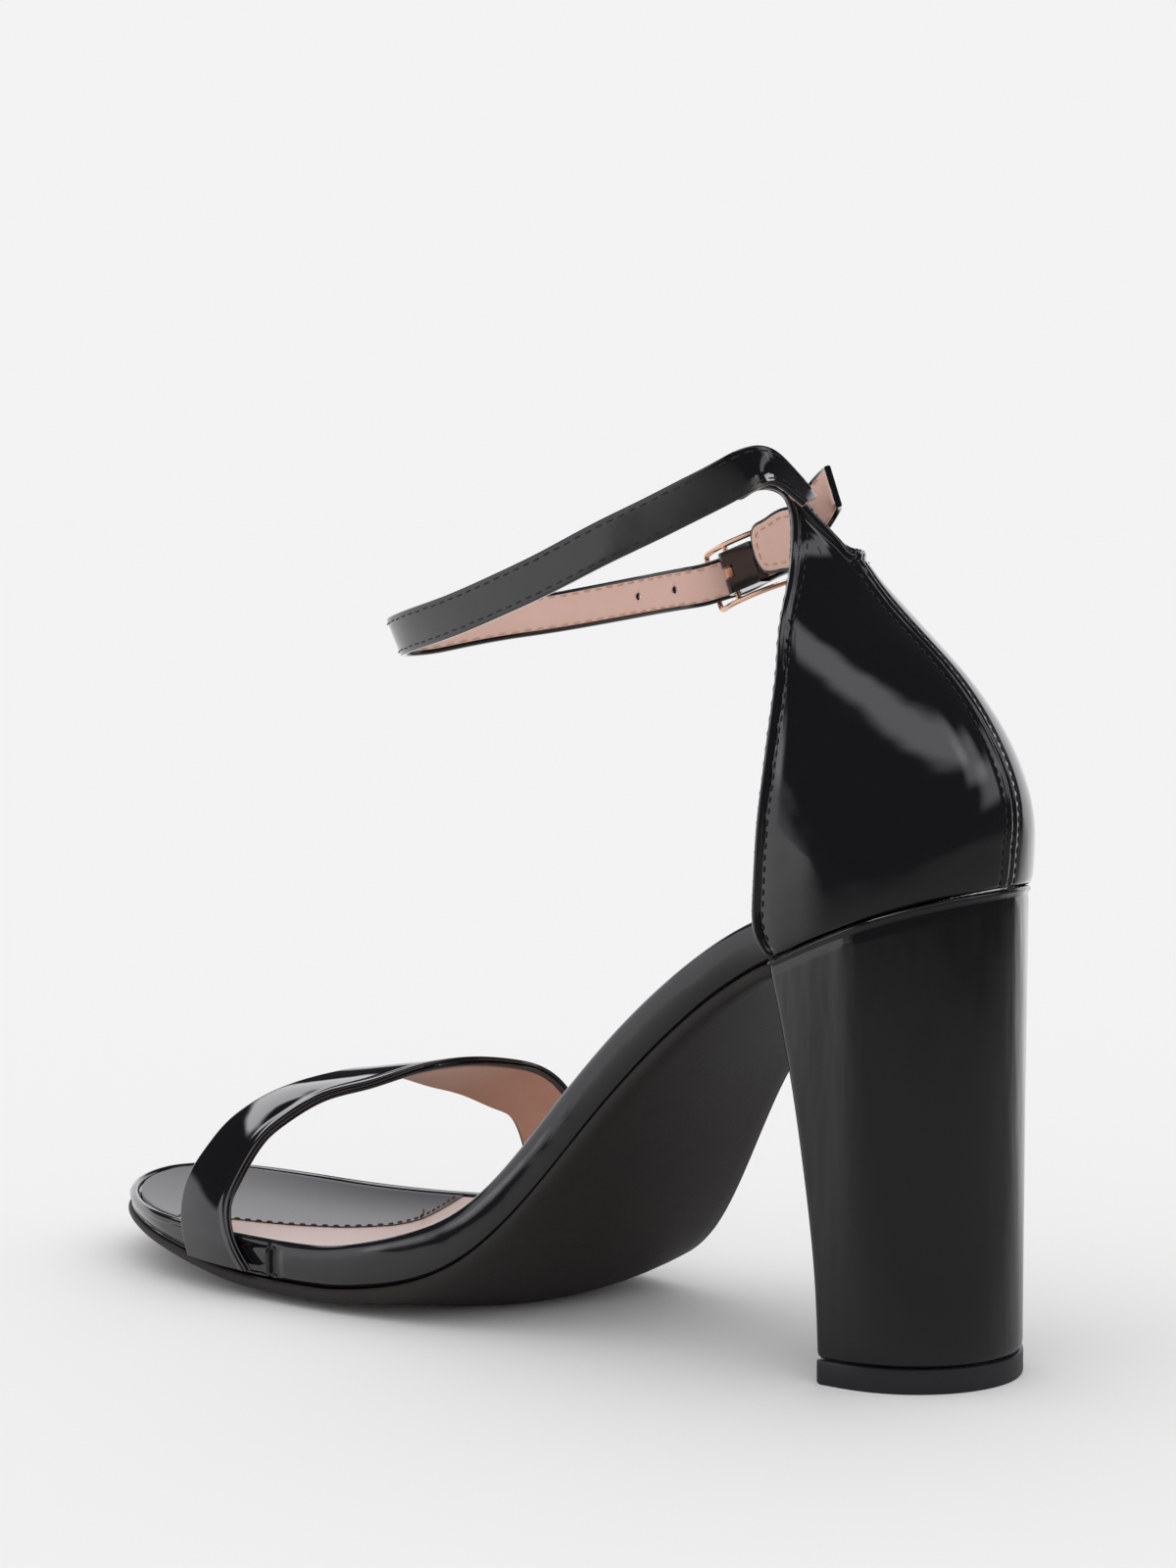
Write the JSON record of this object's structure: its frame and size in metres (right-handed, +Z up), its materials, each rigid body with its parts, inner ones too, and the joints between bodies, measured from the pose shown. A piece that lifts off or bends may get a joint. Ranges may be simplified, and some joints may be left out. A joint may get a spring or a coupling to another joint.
{
  "type": "block heel sandal",
  "caption": "Open-toe sandal on a covered block heel, with a closed heel counter, a diagonal vamp strap and a buckled ankle strap",
  "frame": {"origin": "middle of the underside of the heel tip, on the floor", "axes": "+X towards the toe, +Y to the medial (inner) side, +Z up, with the shoe standing unbent on a level floor at z = 0"},
  "size_m": [0.2334, 0.0775, 0.1828],
  "materials": {
    "patent": "high gloss patent, black",
    "cover": "gloss, black, stretched over the footbed and the heel",
    "sock": "satin gloss, black",
    "lining": "matt, pinkish beige, inside of the straps and the counter",
    "rubber": "matt, brownish black",
    "gold": "polished, rose gold colour"
  },
  "bodies": {
    "root": {"footbed": "cover", "sock": "sock", "outsole": "rubber", "heel": "cover", "heel_tip": "rubber", "counter": "patent", "vamp_strap": "patent", "ankle_strap": "patent", "buckle_frame": "gold", "buckle_tongue": "gold", "buckle_loop": "patent"}
  },
  "joints": []
}
